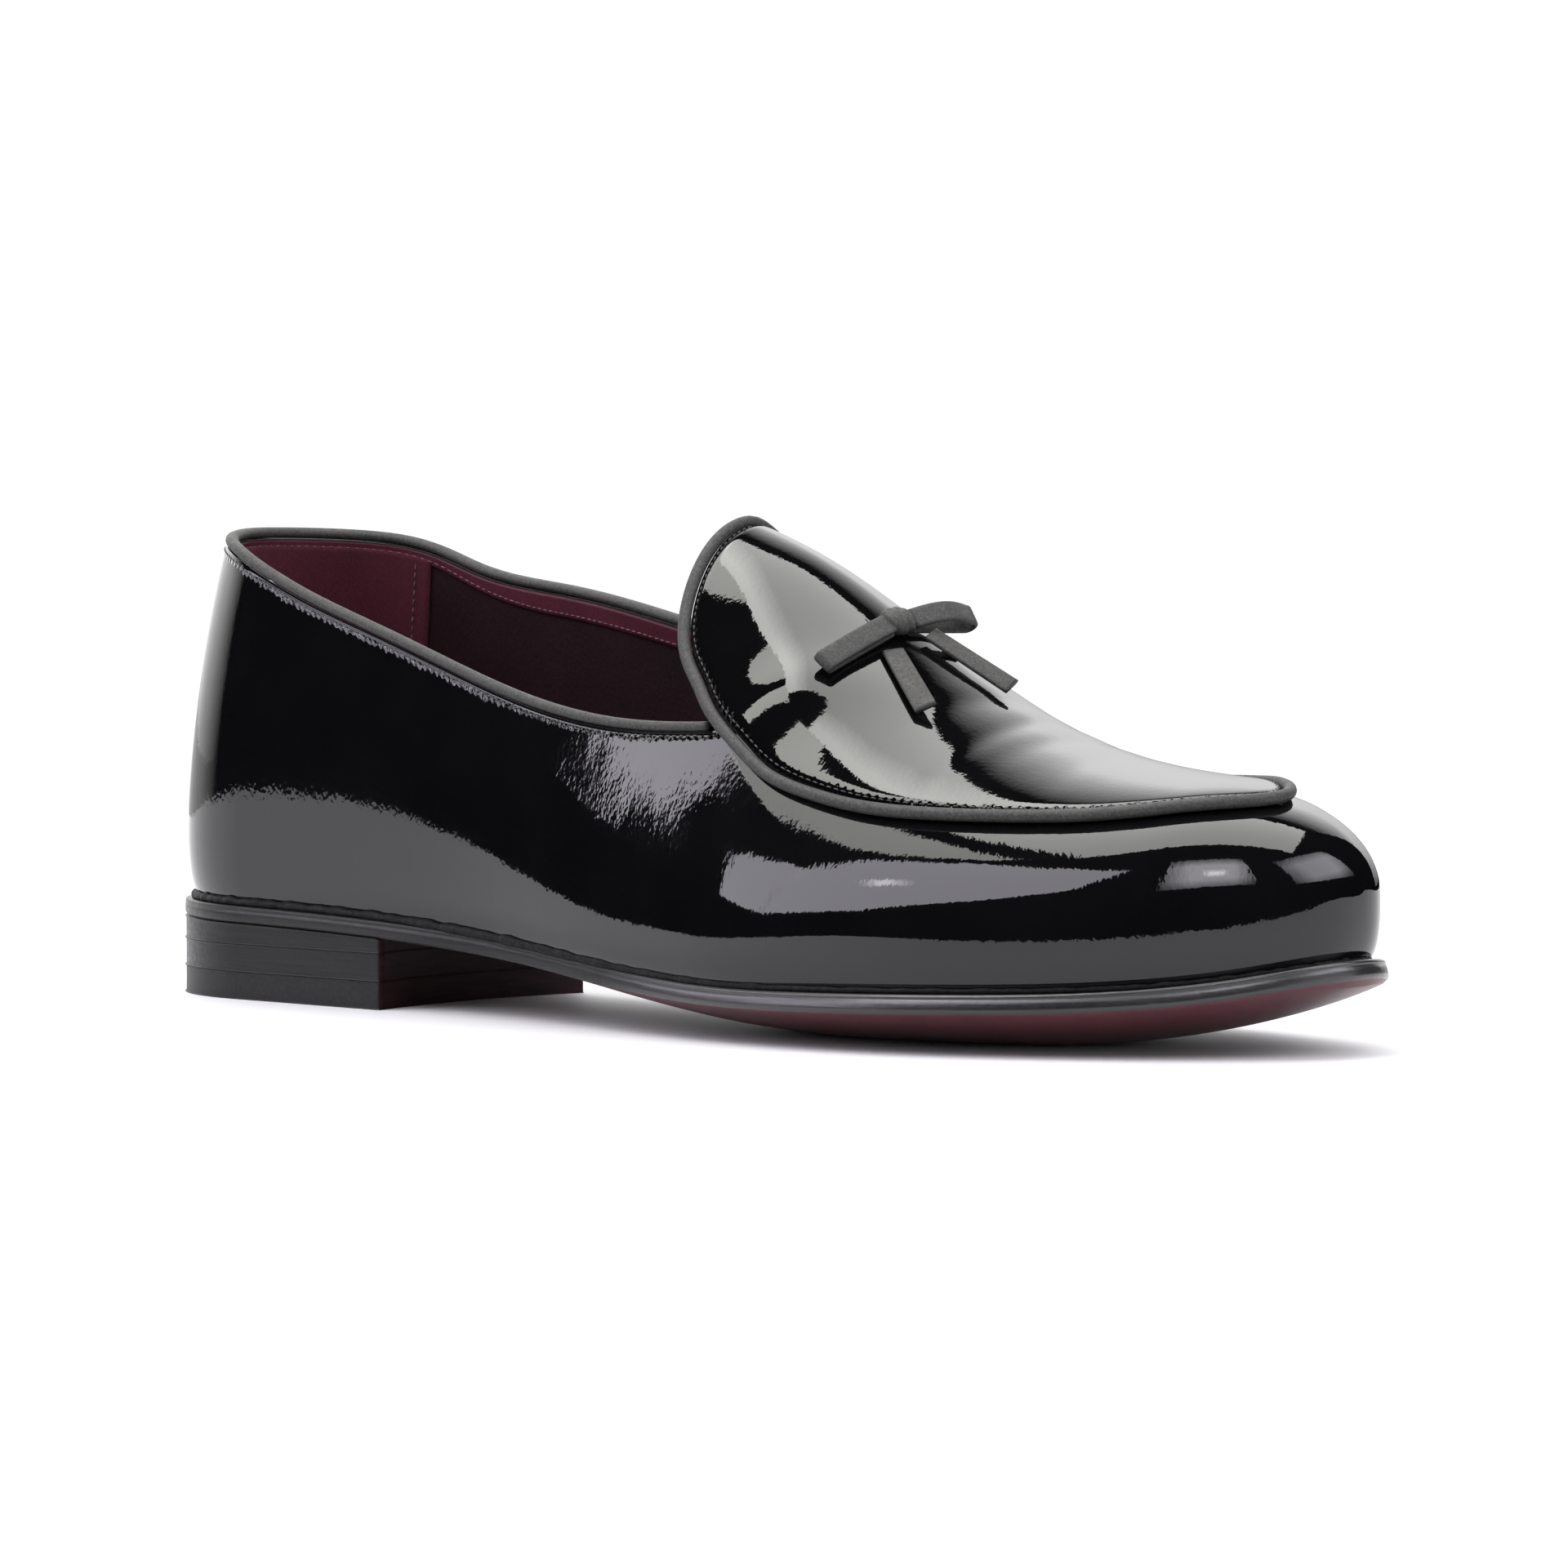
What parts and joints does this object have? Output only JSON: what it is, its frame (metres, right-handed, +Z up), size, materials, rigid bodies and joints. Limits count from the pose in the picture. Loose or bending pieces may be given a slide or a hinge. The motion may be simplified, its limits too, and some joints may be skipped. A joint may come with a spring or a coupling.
{
  "type": "belgian loafer",
  "caption": "Low slip-on loafer for the right foot: hollow patent upper, piped apron running into a tongue, small ribbon bow, thin leather sole and low stacked heel.",
  "frame": {"origin": "middle of the bottom of the overall box, on the floor the shoe stands on", "axes": "+X from heel to toe, +Y towards the medial side, +Z up"},
  "size_m": [0.3024, 0.1006, 0.1033],
  "materials": {
    "patent_leather": "black patent, mirror gloss",
    "trim_leather": "charcoal, matt, fine grain",
    "sole_leather": "burgundy underside, black satin edge",
    "heel_leather": "stacked, black satin edge",
    "heel_rubber": "black, matt",
    "lining_leather": "burgundy, matt"
  },
  "bodies": {
    "root": {"outsole": "sole_leather", "heel_lift_upper": "heel_leather", "heel_lift_lower": "heel_leather", "heel_top_piece": "heel_rubber", "insole": "lining_leather", "upper": "patent_leather", "apron_tongue": "patent_leather", "apron_piping": "trim_leather", "collar_piping": "trim_leather", "bow_knot": "trim_leather", "bow_loop_lateral": "trim_leather", "bow_loop_medial": "trim_leather", "bow_tail_lateral": "trim_leather", "bow_tail_medial": "trim_leather"}
  },
  "joints": []
}
